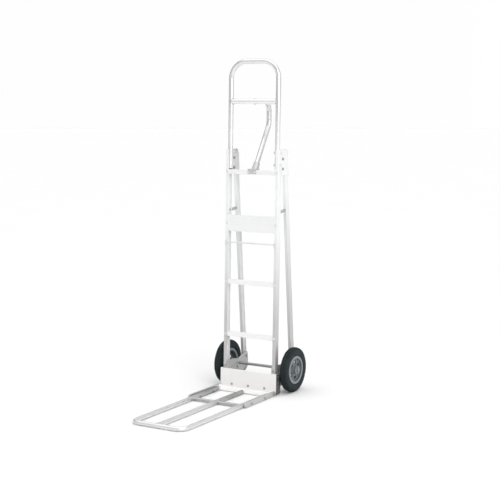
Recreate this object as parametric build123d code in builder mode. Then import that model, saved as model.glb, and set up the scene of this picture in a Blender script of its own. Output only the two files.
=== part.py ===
from build123d import *
import os
from math import cos, radians, sin

os.makedirs("parts", exist_ok=True)

# Driving dimensions in millimetres and degrees.
# X runs across the truck, +Y to the rear and +Z up; the nose points to -Y.

# Wheels and axle
wheel_diameter = 254
wheel_track = 432
tyre_width = 45
tyre_tread_width = 35
tyre_tread_drop = 7.5
rim_diameter = 158
rim_width = 40
rim_flange = 4
rim_flange_height = 10
rim_barrel_wall = 5
rim_web = 10
rim_web_offset = 7
rim_pocket_count = 6
rim_pocket_length = 30
rim_pocket_height = 18
rim_round = 1.5
hub_diameter = 46
hub_length = 56
hub_bore = 20
bearing_diameter = 28
bearing_length = 15
axle_diameter = 16
axle_setback = 127
axle_washer_diameter = 34
axle_washer_thickness = 1.6
hub_end_play = 0.4
cotter_diameter = 4
cotter_length = 36
axle_end = 6

# Leaning frame: two side rails, open inwards
frame_width = 338
frame_lean = 1.65
rail_width = 19
rail_depth = 36
rail_wall = 3
rail_corner = 2
rail_foot = 6
rail_top = 1362

# Crossbars, given by the height of their middle
crossbar_height = 26
crossbar_wall = 2.5
crossbar_corner = 2
foot_crossbar_z = 33
lower_crossbar_z = 316
middle_crossbar_z = 615
upper_crossbar_z = 1236
panel_z = 947.5
panel_height = 91
panel_wall = 3

# Loop handle and rear grip
tube_diameter = 28.6
tube_wall = 2.5
handle_top = 1860
handle_corner = 95
handle_leg_end = 1255
handle_crossbar_drop = 234
handle_bolt_low = 1279
handle_bolt_high = 1346
grip_reach = 226
grip_upper_bend = 55
grip_lower_bend = 70
grip_drop = 128
grip_foot_gap = 9
grip_foot_rise = 8
saddle_width = 52
saddle_wall = 5
saddle_top = 6
saddle_rear = 6.5
saddle_drop = 22
saddle_round = 2
saddle_screw_edge = 6.5
socket_wall = 3.5
socket_length = 26
socket_root = 24

# Rear rails and what holds them
rear_rail_depth = 36
rear_rail_wall = 3
rear_rail_foot_setback = 197
rear_rail_foot_height = 128
rear_rail_top_gap = 28
rear_rail_top = 1345
brace_head_wall = 3
brace_head_flange = 4
brace_head_length = 125
brace_head_cap = 14
brace_bolt_high = 1313
brace_bolt_low = 1258
brace_bolt_setback = 11
brace_boss = 17
brace_plate_wall = 3
brace_plate_height = 96
spacer_z = 1020
spacer_height = 14
spacer_width = 13
spacer_screw_depth = 14

# Wheel brackets
bracket_wall = 6
bracket_top = 160
bracket_bottom = 56
bracket_sole = 30
bracket_sole_front = 70
bracket_sole_rear = 150
bracket_rear_drop = 30
bracket_rear_rise = 44
boss_diameter = 44
boss_inboard = 6
boss_outboard = 17
rib_width = 6
rib_height = 6
tongue_length = 92
tongue_lift = 3
bracket_bolt_z = 133

# Toe plate
toe_plate_height = 119
toe_plate_wall = 8
toe_lip_reach = 64
toe_lip_wall = 8
toe_lip_lift = 3
toe_return_depth = 40
toe_return_wall = 5
toe_side_pad = 9
toe_round = 3
toe_inner_round = 6
toe_bolt_spread = 107
toe_bolt_boss = 18
side_bolt_low = 70
side_bolt_high = 104

# Folding nose
nose_reach = 906
nose_tip_width = 336
nose_tube_diameter = 25.4
nose_tube_wall = 2.5
nose_corner = 46
nose_cross_setback = 337
nose_cross_diameter = 18
hinge_setback = 30
hinge_height = 16
hinge_screw_size = 10
hinge_screw_flats = 16
hinge_screw_head = 6.4
hinge_washer_diameter = 20
hinge_washer_thickness = 1.6
hinge_lug_width = 18
hinge_lug_diameter = 24
arm_wall = 8
arm_height = 28
arm_reach = 326
arm_bolt_edge = 56
arm_bolt_pitch = 140
plug_flange = 3
plug_length = 18

# Rod across the front of the rails, on which the folded nose leans
rest_rod_z = 841
rest_rod_diameter = 8
rest_rod_standoff = 6
rest_clip_width = 14
rest_clip_depth = 8
rest_clip_rise = 8
rest_clip_drop = 18
rest_screw_drop = 11

# Fasteners
bolt_size = 8
bolt_flats = 13
bolt_head = 5.3
nut_height = 6.5
small_size = 6
small_flats = 10
small_head = 4
small_nut_height = 5
button_diameter = 14
button_height = 2.2
button_round = 1.5
head_chamfer = 0.6
rod_chamfer = 1
blind_wall = 2
blind_gap = 1
bolt_end = 2

# Clearances
slip = 0.3
running_fit = 0.06
press_gap = 0.03
bolt_clearance = 0.25
thread_gap = 0.1
weld_gap = 0.2
lug_gap = 0.5
notch_gap = 4
nose_gap = 6

# Values that follow from the sizes above
sides = ((-1, "left"), (1, "right"))
axle_height = wheel_diameter / 2
rear_reach = axle_setback + wheel_diameter / 2
rail_front = (nose_reach - rear_reach) / 2
rail_outer = frame_width / 2
rail_inner = rail_outer - rail_width
rail_web_inner = rail_outer - rail_wall
channel_width = rail_width - rail_wall
channel_depth = rail_depth - 2 * rail_wall
rail_middle = rail_depth / 2
fastener_x = rail_outer - rail_wall - channel_width / 2
bar_front = rail_wall + slip
bar_rear = rail_depth - rail_wall - slip
bar_depth = bar_rear - bar_front
bar_half = rail_web_inner - slip
bolt_hole = bolt_size / 2 + bolt_clearance
small_hole = small_size / 2 + bolt_clearance
tube_radius = tube_diameter / 2
handle_x = rail_web_inner - slip - tube_radius
handle_crossbar_z = handle_top - handle_crossbar_drop
wheel_x = wheel_track / 2
crossbar_top = upper_crossbar_z + crossbar_height / 2

# Directions of the leaning frame
across = Vector(1, 0, 0)
frame_up = Vector(0, sin(radians(frame_lean)), cos(radians(frame_lean)))
frame_back = Vector(0, frame_up.Z, -frame_up.Y)


def on_frame(x, y, z):
    return Vector(x, rail_front, 0) + frame_back * y + frame_up * z


def beside(setback, height, x=0):
    return Vector(x, rail_front + setback, height)


def facing_up(x, y, z):
    return Plane(on_frame(x, y, z), x_dir=across, z_dir=frame_up)


def facing_front(x, y, z):
    return Plane(on_frame(x, y, z), x_dir=across, z_dir=-frame_back)


def facing_rear(x, y, z):
    return Plane(on_frame(x, y, z), x_dir=-across, z_dir=frame_back)


def facing_side(point, side):
    return Plane(point, x_dir=(0, 0, 1), z_dir=across * side)


def frame_section(x):
    return Plane(on_frame(x, 0, 0), x_dir=frame_back, z_dir=across)


def side_view(x):
    return Plane(beside(0, 0, x), x_dir=(0, 1, 0), z_dir=across)


def flat(point):
    return (point.Y - rail_front, point.Z)


def hex_bolt(size, flats, head, length):
    with BuildPart() as bolt:
        with BuildSketch(Plane.XY):
            RegularPolygon(flats / 2, 6, major_radius=False)
        extrude(amount=head)
        chamfer(bolt.edges().group_by(Axis.Z)[-1], head_chamfer)
        with BuildSketch(Plane.XY):
            Circle(size / 2)
        extrude(amount=-length)
    return bolt.part


def button_bolt(size, diameter, head, length):
    with BuildPart() as bolt:
        with BuildSketch(Plane.XY):
            Circle(diameter / 2)
        extrude(amount=head)
        fillet(bolt.edges().group_by(Axis.Z)[-1], button_round)
        with BuildSketch(Plane.XY):
            Circle(size / 2)
        extrude(amount=-length)
    return bolt.part


def hex_nut(size, flats, height):
    with BuildPart() as nut:
        with BuildSketch(Plane.XY):
            RegularPolygon(flats / 2, 6, major_radius=False)
            Circle(size / 2 + thread_gap, mode=Mode.SUBTRACT)
        extrude(amount=height)
    return nut.part


def write(part, name):
    part.label = name
    export_step(part, f"parts/{name}.step")


# Rear rails: channels that run from the wheel brackets up to the brace heads
rear_rail_outer = rail_outer - brace_head_wall
rear_rail_inner = rail_inner + slip
rear_rail_width = rear_rail_outer - rear_rail_inner
rear_rail_foot = beside(rear_rail_foot_setback, rear_rail_foot_height)
rear_rail_head = on_frame(0, rail_depth + rear_rail_top_gap, rear_rail_top)
rear_rail_length = (rear_rail_head - rear_rail_foot).length
brace_up = (rear_rail_head - rear_rail_foot).normalized()
brace_back = Vector(0, brace_up.Z, -brace_up.Y)
foot_bolt_y = rear_rail_depth / 2
brace_bolt_y = rail_depth + brace_bolt_setback
brace_bolt_zs = [brace_bolt_low, brace_bolt_high]
foot_bolt_height = bracket_rear_rise / 2


def on_brace(x, y, z):
    return Vector(x, 0, 0) + rear_rail_foot + brace_back * y + brace_up * z


# Places of the fasteners
crossbar_zs = [lower_crossbar_z, middle_crossbar_z, panel_z, upper_crossbar_z]
handle_bolt_zs = [handle_bolt_low, handle_bolt_high]
side_bolt_zs = [side_bolt_low, side_bolt_high]
toe_bolt_xs = [-toe_bolt_spread, 0, toe_bolt_spread]
rest_screw_z = rest_rod_z - rest_screw_drop
flange_hole_zs = crossbar_zs + [bracket_bolt_z]

# Side rails
for side, word in sides:
    with BuildPart() as side_rail:
        with BuildSketch(facing_up(0, 0, rail_foot)):
            with Locations((side * (rail_inner + rail_width / 2), rail_middle)):
                Rectangle(rail_width, rail_depth)
            with Locations((side * (rail_inner + channel_width / 2), rail_middle)):
                Rectangle(channel_width, channel_depth, mode=Mode.SUBTRACT)
        extrude(amount=rail_top - rail_foot)
        long_edges = side_rail.edges().filter_by(Axis((0, 0, 0), frame_up))
        fillet(long_edges.sort_by(Axis.X)[-2:] if side > 0 else long_edges.sort_by(Axis.X)[:2], rail_corner)
        with Locations([facing_rear(side * fastener_x, rail_middle, z) for z in flange_hole_zs]):
            Hole(bolt_hole, rail_depth)
        with Locations([facing_side(on_frame(side * rail_outer, rail_middle, z), side)
                        for z in handle_bolt_zs + side_bolt_zs]):
            Hole(bolt_hole, 2 * rail_wall)
        with Locations(facing_front(side * fastener_x, 0, rest_screw_z)):
            Hole(small_hole, 2 * rail_wall)
        with Locations(facing_rear(side * fastener_x, rail_depth, spacer_z)):
            Hole(small_hole, 2 * rail_wall)
    write(side_rail.part, f"{word}_side_rail")

# Crossbars: box sections whose ends sit inside the rails' channels
crossbars = (("foot_crossbar", foot_crossbar_z), ("lower_crossbar", lower_crossbar_z),
             ("middle_crossbar", middle_crossbar_z), ("upper_crossbar", upper_crossbar_z))
saddle_screw_x = saddle_width / 2 - saddle_screw_edge
for name, z in crossbars:
    with BuildPart() as crossbar:
        with BuildSketch(frame_section(-bar_half)):
            with Locations((rail_middle, z)):
                RectangleRounded(bar_depth, crossbar_height, crossbar_corner)
                Rectangle(bar_depth - 2 * crossbar_wall, crossbar_height - 2 * crossbar_wall,
                          mode=Mode.SUBTRACT)
        extrude(amount=2 * bar_half)
        if name == "foot_crossbar":
            hole_places = [facing_rear(x, rail_middle, z) for x in toe_bolt_xs]
        else:
            hole_places = [facing_rear(side * fastener_x, rail_middle, z) for side, word in sides]
        with Locations(hole_places):
            Hole(bolt_hole, rail_depth)
        if name == "upper_crossbar":
            with Locations([facing_rear(side * saddle_screw_x, rail_middle, z) for side, word in sides]):
                Hole(small_hole, rail_depth)
    write(crossbar.part, name)

# Wide cross panel: a plain face with flanges turned to the rear
with BuildPart() as cross_panel:
    with BuildSketch(frame_section(-bar_half)):
        with Locations((rail_middle, panel_z)):
            Rectangle(bar_depth, panel_height)
        with Locations((rail_middle + panel_wall, panel_z)):
            Rectangle(bar_depth, panel_height - 2 * panel_wall, mode=Mode.SUBTRACT)
    extrude(amount=2 * bar_half)
    with Locations([facing_rear(side * fastener_x, rail_middle, panel_z) for side, word in sides]):
        Hole(bolt_hole, rail_depth)
write(cross_panel.part, "cross_panel")

# Crossbar bolts; the upper pair also holds the brace heads
crossbar_grip = {z: rail_depth for z in crossbar_zs}
crossbar_grip[upper_crossbar_z] = rail_depth + brace_head_flange
with BuildPart() as crossbar_bolts:
    for z in crossbar_zs:
        length = crossbar_grip[z] + nut_height + bolt_end
        with Locations([facing_front(side * fastener_x, 0, z) for side, word in sides]):
            add(button_bolt(bolt_size, button_diameter, button_height, length))
write(crossbar_bolts.part, "crossbar_bolts")

with BuildPart() as crossbar_nuts:
    for z in crossbar_zs:
        with Locations([facing_rear(side * fastener_x, crossbar_grip[z], z) for side, word in sides]):
            add(hex_nut(bolt_size, bolt_flats, nut_height))
write(crossbar_nuts.part, "crossbar_nuts")

# Loop handle: one tube bent twice, its legs inside the rails
with BuildPart() as loop_handle:
    handle_middle = handle_top - tube_radius
    with BuildLine(facing_front(0, rail_middle, 0)) as handle_path:
        FilletPolyline((-handle_x, handle_leg_end), (-handle_x, handle_middle),
                       (handle_x, handle_middle), (handle_x, handle_leg_end), radius=handle_corner)
    with BuildSketch(facing_up(-handle_x, rail_middle, handle_leg_end)):
        Circle(tube_radius)
        Circle(tube_radius - tube_wall, mode=Mode.SUBTRACT)
    sweep(path=handle_path.wires()[0])
    with Locations([facing_side(on_frame(side * handle_x, rail_middle, z), side)
                    for side, word in sides for z in handle_bolt_zs]):
        Hole(bolt_hole, tube_diameter)
write(loop_handle.part, "loop_handle")

with BuildPart() as handle_crossbar:
    with BuildSketch(frame_section(-handle_x)):
        with Locations((rail_middle, handle_crossbar_z)):
            Circle(tube_radius)
            Circle(tube_radius - tube_wall, mode=Mode.SUBTRACT)
    extrude(amount=2 * handle_x)
    with Locations([facing_up(side * handle_x, rail_middle, handle_crossbar_z) for side, word in sides]):
        Cylinder(tube_radius + weld_gap, 3 * tube_diameter, mode=Mode.SUBTRACT)
write(handle_crossbar.part, "handle_crossbar")

handle_nut_x = handle_x - tube_radius - slip
with BuildPart() as handle_bolts:
    with Locations([facing_side(on_frame(side * rail_outer, rail_middle, z), side)
                    for side, word in sides for z in handle_bolt_zs]):
        add(hex_bolt(bolt_size, bolt_flats, bolt_head, rail_outer - handle_nut_x + nut_height + bolt_end))
write(handle_bolts.part, "handle_bolts")

with BuildPart() as handle_nuts:
    with Locations([facing_side(on_frame(side * handle_nut_x, rail_middle, z), -side)
                    for side, word in sides for z in handle_bolt_zs]):
        add(hex_nut(bolt_size, bolt_flats, nut_height))
write(handle_nuts.part, "handle_nuts")

# Rear grip: back from the handle crossbar, down, and forward to the upper crossbar
grip_start = on_frame(0, rail_middle, handle_crossbar_z)
grip_end = on_frame(0, bar_rear + grip_foot_gap, crossbar_top + saddle_top + grip_foot_rise)
grip_back = beside(grip_reach, grip_start.Z)
grip_turn = beside(grip_reach, grip_start.Z - grip_drop)
grip_rise = (grip_turn - grip_end).normalized()
with BuildPart() as rear_grip:
    with BuildLine() as grip_path:
        FilletPolyline(grip_start, grip_back, grip_turn, grip_end,
                       radius=(grip_upper_bend, grip_lower_bend))
    with BuildSketch(Plane(grip_start, x_dir=across, z_dir=(0, 1, 0))):
        Circle(tube_radius)
        Circle(tube_radius - tube_wall, mode=Mode.SUBTRACT)
    sweep(path=grip_path.wires()[0])
    with BuildSketch(frame_section(-tube_diameter)):
        with Locations((rail_middle, handle_crossbar_z)):
            Circle(tube_radius + weld_gap)
    extrude(amount=2 * tube_diameter, mode=Mode.SUBTRACT)
write(rear_grip.part, "rear_grip")

# Grip saddle: hooks over the upper crossbar and holds the grip's foot in a socket
saddle_front = bar_front - saddle_wall
saddle_back = bar_rear + saddle_rear
saddle_foot = crossbar_top - saddle_drop
socket_radius = tube_radius + weld_gap + socket_wall
saddle_screw_length = saddle_back - saddle_front - blind_wall - blind_gap
with BuildPart() as grip_saddle:
    with BuildSketch(frame_section(-saddle_width / 2)):
        with Locations(((saddle_front + saddle_back) / 2, (saddle_foot + crossbar_top + saddle_top) / 2)):
            RectangleRounded(saddle_back - saddle_front, crossbar_top + saddle_top - saddle_foot,
                             saddle_round)
    extrude(amount=saddle_width)
    with BuildSketch(Plane(grip_end - grip_rise * socket_root, x_dir=across, z_dir=grip_rise)):
        Circle(socket_radius)
    extrude(amount=socket_root + socket_length)
    with BuildSketch(Plane(grip_end - grip_rise * weld_gap, x_dir=across, z_dir=grip_rise)):
        Circle(tube_radius + weld_gap)
    extrude(amount=2 * socket_length, mode=Mode.SUBTRACT)
    with BuildSketch(frame_section(-saddle_width)):
        with Locations((rail_middle, upper_crossbar_z)):
            Rectangle(bar_depth, crossbar_height)
        with Locations((rail_middle, upper_crossbar_z - crossbar_height)):
            Rectangle(bar_depth, crossbar_height)
    extrude(amount=2 * saddle_width, mode=Mode.SUBTRACT)
    with Locations([facing_front(side * saddle_screw_x, saddle_front, upper_crossbar_z)
                    for side, word in sides]):
        Hole(small_hole, saddle_screw_length + blind_gap)
write(grip_saddle.part, "grip_saddle")

with BuildPart() as grip_saddle_screws:
    with Locations([facing_front(side * saddle_screw_x, saddle_front, upper_crossbar_z)
                    for side, word in sides]):
        add(hex_bolt(small_size, small_flats, small_head, saddle_screw_length))
write(grip_saddle_screws.part, "grip_saddle_screws")

# Rear rails
for side, word in sides:
    with BuildPart() as rear_rail:
        rail_place = Plane(on_brace(0, 0, 0), x_dir=across, z_dir=brace_up)
        inner_width = rear_rail_width - rear_rail_wall
        with BuildSketch(rail_place):
            with Locations((side * (rear_rail_inner + rear_rail_width / 2), rear_rail_depth / 2)):
                Rectangle(rear_rail_width, rear_rail_depth)
            with Locations((side * (rear_rail_inner + inner_width / 2), rear_rail_depth / 2)):
                Rectangle(inner_width, rear_rail_depth - 2 * rear_rail_wall, mode=Mode.SUBTRACT)
        extrude(amount=rear_rail_length)
        with Locations(facing_side(on_brace(side * rear_rail_outer, foot_bolt_y, foot_bolt_height), side)):
            Hole(bolt_hole, 2 * rear_rail_wall)
        spacer_place = on_frame(side * fastener_x, rail_depth, spacer_z)
        spacer_rise = (spacer_place - on_brace(0, 0, 0)).dot(brace_up)
        with Locations(Plane(on_brace(side * fastener_x, 0, spacer_rise), x_dir=across, z_dir=-brace_back)):
            Hole(small_hole, 2 * rear_rail_wall)
    write(rear_rail.part, f"{word}_rear_rail")

# Brace heads: caps that join the top of each rear rail to its side rail
brace_foot_rise = rear_rail_length - brace_head_length
brace_back_face = rear_rail_depth + brace_head_flange
brace_low = (on_brace(0, 0, brace_foot_rise) - on_frame(0, 0, 0)).dot(frame_up)
brace_cap_rise = (on_frame(0, rail_depth, rail_top) - on_brace(0, 0, 0)).dot(brace_up)
for side, word in sides:
    with BuildPart() as brace_head:
        outline = [on_frame(0, rail_depth, brace_low), on_frame(0, rail_depth, rail_top),
                   on_brace(0, brace_back_face - brace_head_cap, brace_cap_rise),
                   on_brace(0, brace_back_face, brace_cap_rise - brace_head_cap),
                   on_brace(0, brace_back_face, brace_foot_rise)]
        pocket = [on_frame(0, rail_depth + brace_head_flange, brace_low - brace_head_length),
                  on_frame(0, rail_depth + brace_head_flange, rail_top - brace_head_flange),
                  on_brace(0, rear_rail_depth - brace_head_cap, brace_cap_rise - brace_head_flange),
                  on_brace(0, rear_rail_depth, brace_cap_rise - brace_head_cap),
                  on_brace(0, rear_rail_depth, brace_foot_rise - brace_head_length)]
        with BuildSketch(side_view(side * rail_outer)):
            Polygon(*[flat(point) for point in outline], align=None)
        extrude(amount=-side * rail_width)
        with BuildSketch(side_view(side * rear_rail_outer)):
            Polygon(*[flat(point) for point in pocket], align=None)
        extrude(amount=-side * rail_width, mode=Mode.SUBTRACT)
        with BuildSketch(frame_section(side * rail_outer)):
            with Locations([(brace_bolt_y, z) for z in brace_bolt_zs]):
                Circle(brace_boss / 2)
        extrude(amount=-side * rail_width)
        with Locations([facing_side(on_frame(side * rail_outer, brace_bolt_y, z), side)
                        for z in brace_bolt_zs]):
            Hole(bolt_hole, 2 * rail_width)
        with Locations(facing_rear(side * fastener_x, rail_depth, upper_crossbar_z)):
            Hole(bolt_hole, 2 * brace_head_flange)
    write(brace_head.part, f"{word}_brace_head")

# Plates on the inner side of the brace heads, clamped across both rails
plate_middle = (brace_bolt_low + brace_bolt_high) / 2
plate_zs = (plate_middle - brace_plate_height / 2, plate_middle + brace_plate_height / 2)
plate_front = rail_depth - rail_wall + slip
plate_rears = [(on_frame(0, 0, z) - on_brace(0, 0, 0)).dot(brace_up) for z in plate_zs]
plate_outline = [flat(on_frame(0, plate_front, plate_zs[0])), flat(on_frame(0, plate_front, plate_zs[1])),
                 flat(on_brace(0, rear_rail_depth, plate_rears[1])),
                 flat(on_brace(0, rear_rail_depth, plate_rears[0]))]
with BuildPart() as brace_plates:
    for side, word in sides:
        with BuildSketch(side_view(side * rail_inner)):
            Polygon(*plate_outline, align=None)
        extrude(amount=-side * brace_plate_wall)
    fillet(brace_plates.edges().filter_by(Axis.X), 2 * brace_plate_wall)
    with Locations([facing_side(on_frame(side * rail_inner, brace_bolt_y, z), side)
                    for side, word in sides for z in brace_bolt_zs]):
        Hole(bolt_hole, 2 * brace_plate_wall)
write(brace_plates.part, "brace_plates")

brace_nut_x = rail_inner - brace_plate_wall
with BuildPart() as brace_head_bolts:
    with Locations([facing_side(on_frame(side * rail_outer, brace_bolt_y, z), side)
                    for side, word in sides for z in brace_bolt_zs]):
        add(hex_bolt(bolt_size, bolt_flats, bolt_head, rail_outer - brace_nut_x + nut_height + bolt_end))
write(brace_head_bolts.part, "brace_head_bolts")

with BuildPart() as brace_head_nuts:
    with Locations([facing_side(on_frame(side * brace_nut_x, brace_bolt_y, z), -side)
                    for side, word in sides for z in brace_bolt_zs]):
        add(hex_nut(bolt_size, bolt_flats, nut_height))
write(brace_head_nuts.part, "brace_head_nuts")

# Spacers between side rail and rear rail at half height
spacer_foot = spacer_z - spacer_height / 2
spacer_head = spacer_z + spacer_height / 2
with BuildPart() as rail_spacers:
    for side, word in sides:
        corners = []
        for z in (spacer_foot, spacer_head):
            near = on_frame(0, rail_depth, z)
            rise = (near - on_brace(0, 0, 0)).dot(brace_up)
            corners.append((flat(near), flat(on_brace(0, 0, rise))))
        (low_front, low_rear), (high_front, high_rear) = corners
        with BuildSketch(side_view(side * (fastener_x - spacer_width / 2))):
            Polygon(low_front, low_rear, high_rear, high_front, align=None)
        extrude(amount=side * spacer_width)
    rear_seats = []
    for side, word in sides:
        rise = (on_frame(0, rail_depth, spacer_z) - on_brace(0, 0, 0)).dot(brace_up)
        rear_seats.append(Plane(on_brace(side * fastener_x, 0, rise), x_dir=across, z_dir=brace_back))
    front_seats = [facing_front(side * fastener_x, rail_depth, spacer_z) for side, word in sides]
    with Locations(front_seats + rear_seats):
        Hole(small_hole, spacer_screw_depth + blind_gap)
write(rail_spacers.part, "rail_spacers")

with BuildPart() as spacer_screws:
    with Locations([plane.offset(rail_wall) for plane in front_seats]):
        add(button_bolt(small_size, small_flats, button_height, rail_wall + spacer_screw_depth))
    with Locations([plane.offset(rear_rail_wall) for plane in rear_seats]):
        add(button_bolt(small_size, small_flats, button_height, rear_rail_wall + spacer_screw_depth))
write(spacer_screws.part, "spacer_screws")

# Wheel brackets: cast plates against the open sides of both rails, with tongues in their channels
bracket_inner = rail_inner - bracket_wall
boss_inner = bracket_inner - boss_inboard
boss_outer = rail_outer + boss_outboard
boss_radius = boss_diameter / 2
rear_tongue_outer = rear_rail_outer - rear_rail_wall - slip
bracket_front = rail_wall + slip
bracket_outline = [flat(on_frame(0, bracket_front, bracket_bottom)),
                   flat(on_frame(0, bracket_front, bracket_top)),
                   flat(on_frame(0, rail_depth + bracket_wall, bracket_top)),
                   (axle_setback, axle_height + boss_radius + 2),
                   flat(on_brace(0, -rear_rail_wall, bracket_rear_rise)),
                   flat(on_brace(0, rear_rail_depth, bracket_rear_rise)),
                   flat(on_brace(0, rear_rail_depth, -bracket_rear_drop)),
                   (bracket_sole_rear, bracket_sole), (bracket_sole_front, bracket_sole),
                   flat(on_frame(0, rail_depth + bracket_wall, bracket_bottom))]
bracket_ribs = [(flat(on_brace(0, rear_rail_depth - rib_width, -bracket_rear_drop)),
                 (bracket_sole_rear, bracket_sole + rib_width)),
                ((axle_setback, axle_height), flat(on_brace(0, 0, -bracket_rear_drop / 2))),
                ((axle_setback, axle_height),
                 ((bracket_sole_front + bracket_sole_rear) / 2, bracket_sole + rib_width)),
                ((axle_setback, axle_height),
                 flat(on_frame(0, rail_depth, (bracket_top + bracket_bottom) / 2)))]
for side, word in sides:
    with BuildPart() as wheel_bracket:
        with BuildSketch(side_view(side * bracket_inner)):
            Polygon(*bracket_outline, align=None)
        extrude(amount=side * bracket_wall)
        fillet(wheel_bracket.edges().filter_by(Axis.X), rib_width)
        with BuildSketch(side_view(side * bracket_inner)):
            for start, end in bracket_ribs:
                with BuildLine():
                    Line(start, end)
                trace(line_width=rib_width)
        extrude(amount=-side * rib_height)
        with BuildSketch(side_view(side * boss_inner)):
            with Locations((axle_setback, axle_height)):
                Circle(boss_radius)
        extrude(amount=side * (boss_outer - boss_inner))
        with BuildSketch(facing_up(0, 0, bracket_bottom + tongue_lift)):
            with Locations((side * (rail_inner + bar_half) / 2, rail_middle)):
                Rectangle(bar_half - rail_inner, bar_depth)
        extrude(amount=tongue_length)
        with BuildSketch(Plane(on_brace(0, 0, tongue_lift), x_dir=across, z_dir=brace_up)):
            with Locations((side * (rail_inner + rear_tongue_outer) / 2, rear_rail_depth / 2)):
                Rectangle(rear_tongue_outer - rail_inner, rear_rail_depth - 2 * rear_rail_wall - 2 * slip)
        extrude(amount=bracket_rear_rise - 2 * tongue_lift)
        with Locations(facing_side(beside(axle_setback, axle_height, side * boss_outer), side)):
            Hole(axle_diameter / 2 + running_fit, 2 * (boss_outer - boss_inner))
        with Locations([facing_side(on_frame(side * rail_outer, rail_middle, z), side)
                        for z in side_bolt_zs]):
            Hole(bolt_hole, 3 * rail_width)
        with Locations(facing_side(on_brace(side * rail_outer, foot_bolt_y, foot_bolt_height), side)):
            Hole(bolt_hole, 3 * rail_width)
        with Locations(facing_rear(side * fastener_x, rail_middle, bracket_bolt_z)):
            Hole(bolt_hole, rail_depth)
    write(wheel_bracket.part, f"{word}_wheel_bracket")

foot_seats = [facing_side(on_brace(side * rear_rail_outer, foot_bolt_y, foot_bolt_height), side)
              for side, word in sides]
foot_bolt_length = rear_rail_outer - bracket_inner + nut_height + bolt_end
with BuildPart() as bracket_bolts:
    with Locations(foot_seats):
        add(hex_bolt(bolt_size, bolt_flats, bolt_head, foot_bolt_length))
    with Locations([facing_front(side * fastener_x, 0, bracket_bolt_z) for side, word in sides]):
        add(hex_bolt(bolt_size, bolt_flats, bolt_head, rail_depth + nut_height + bolt_end))
write(bracket_bolts.part, "bracket_bolts")

with BuildPart() as bracket_nuts:
    with Locations([facing_side(on_brace(side * bracket_inner, foot_bolt_y, foot_bolt_height), -side)
                    for side, word in sides]):
        add(hex_nut(bolt_size, bolt_flats, nut_height))
    with Locations([facing_rear(side * fastener_x, rail_depth, bracket_bolt_z) for side, word in sides]):
        add(hex_nut(bolt_size, bolt_flats, nut_height))
write(bracket_nuts.part, "bracket_nuts")

# Toe plate: a cast angle with side returns, bosses behind it and hinge lugs at the ends of its lip
toe_half = rail_outer + toe_side_pad + toe_return_wall
toe_plate_width = 2 * toe_half
lip_top = toe_lip_lift + toe_lip_wall
arm_outer = toe_half
arm_inner = arm_outer - arm_wall
lip_half = arm_inner - lug_gap
notch_rear = hinge_setback - arm_height / 2 - notch_gap
lug_hole_depth = hinge_lug_width - blind_wall
hinge_places = [facing_side(beside(-hinge_setback, hinge_height, side * lip_half), side)
                for side, word in sides]
with BuildPart() as toe_plate:
    with BuildSketch(side_view(-toe_half)):
        wall_top = flat(on_frame(0, 0, toe_plate_height))
        wall_top_front = flat(on_frame(0, -toe_plate_wall, toe_plate_height))
        wall_foot = flat(on_frame(0, -toe_plate_wall, lip_top))
        Polygon((0, 0), wall_top, wall_top_front, wall_foot, (-toe_lip_reach, lip_top),
                (-toe_lip_reach, toe_lip_lift), (-toe_plate_wall - toe_lip_lift, toe_lip_lift),
                (-toe_plate_wall, 0), align=None)
    extrude(amount=toe_plate_width)
    long_edges = toe_plate.edges().filter_by(Axis.X)
    fillet(long_edges.sort_by_distance(beside(*wall_foot))[0], toe_inner_round)
    long_edges = toe_plate.edges().filter_by(Axis.X)
    fillet(long_edges.sort_by_distance(beside(*wall_top))[:2]
           + [long_edges.sort_by_distance(beside(-toe_lip_reach, lip_top))[0]], toe_round)
    with BuildSketch(frame_section(-toe_half)):
        Polygon((-toe_plate_wall / 2, toe_lip_lift), (toe_return_depth, rail_foot),
                (toe_return_depth, toe_plate_height - toe_return_depth / 2),
                (toe_return_depth / 2, toe_plate_height), (-toe_plate_wall / 2, toe_plate_height), align=None)
    extrude(amount=toe_return_wall)
    with BuildSketch(frame_section(toe_half)):
        Polygon((-toe_plate_wall / 2, toe_lip_lift), (toe_return_depth, rail_foot),
                (toe_return_depth, toe_plate_height - toe_return_depth / 2),
                (toe_return_depth / 2, toe_plate_height), (-toe_plate_wall / 2, toe_plate_height), align=None)
    extrude(amount=-toe_return_wall)
    for side, word in sides:
        with BuildSketch(frame_section(side * rail_outer)):
            with Locations([(rail_middle, z) for z in side_bolt_zs]):
                Circle(toe_bolt_boss / 2)
        extrude(amount=side * toe_side_pad)
        with BuildSketch(side_view(side * lip_half)):
            with Locations((-notch_rear, 0)):
                Rectangle(toe_lip_reach, lip_top + toe_inner_round, align=(Align.MAX, Align.MIN))
        extrude(amount=side * (toe_half - lip_half), mode=Mode.SUBTRACT)
        with BuildSketch(side_view(side * lip_half)):
            with Locations((-hinge_setback, hinge_height)):
                Circle(hinge_lug_diameter / 2)
                Rectangle(hinge_lug_diameter, hinge_height - toe_lip_lift, align=(Align.CENTER, Align.MAX))
        extrude(amount=-side * hinge_lug_width)
    with BuildSketch(facing_rear(0, 0, foot_crossbar_z)):
        with Locations([(x, 0) for x in toe_bolt_xs]):
            Circle(toe_bolt_boss / 2)
    extrude(amount=bar_front)
    with Locations([facing_front(x, -toe_plate_wall, foot_crossbar_z) for x in toe_bolt_xs]):
        Hole(bolt_hole, 2 * toe_plate_wall + bar_front)
    with Locations([facing_side(on_frame(side * toe_half, rail_middle, z), side)
                    for side, word in sides for z in side_bolt_zs]):
        Hole(bolt_hole, 2 * (toe_half - rail_outer))
    with Locations(hinge_places):
        Hole(hinge_screw_size / 2 + thread_gap, lug_hole_depth)
write(toe_plate.part, "toe_plate")

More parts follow.
